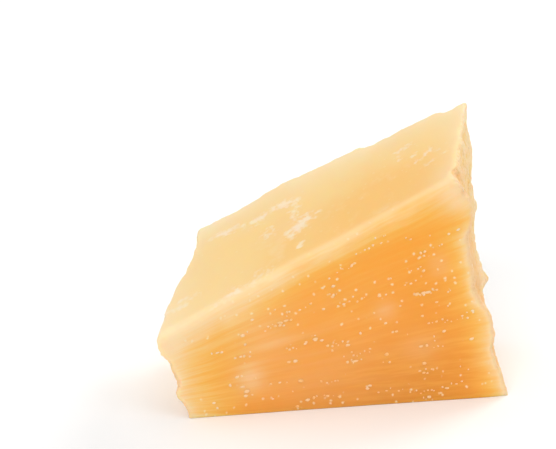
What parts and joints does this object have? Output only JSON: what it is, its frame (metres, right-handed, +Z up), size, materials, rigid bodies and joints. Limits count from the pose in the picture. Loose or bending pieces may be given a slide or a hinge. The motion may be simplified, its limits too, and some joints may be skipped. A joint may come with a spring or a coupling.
{
  "type": "parmesan cheese chunk",
  "caption": "Chunk of hard aged cheese with a smooth cut front and top and rough broken ends and back, standing on its flat foot.",
  "frame": {"origin": "bottom centre of the chunk's box, on the surface that it stands on", "axes": "+Z up, +X along the chunk from its low end to its high end, and the smooth cut front looks along -Y"},
  "size_m": [0.1196, 0.0588, 0.0869],
  "materials": {
    "cheese": "waxy and slightly translucent hard cheese: deep orange-yellow inside, pale cream towards the edges, with small white crystals"
  },
  "bodies": {
    "root": {"cheese_chunk": "cheese"}
  },
  "joints": []
}
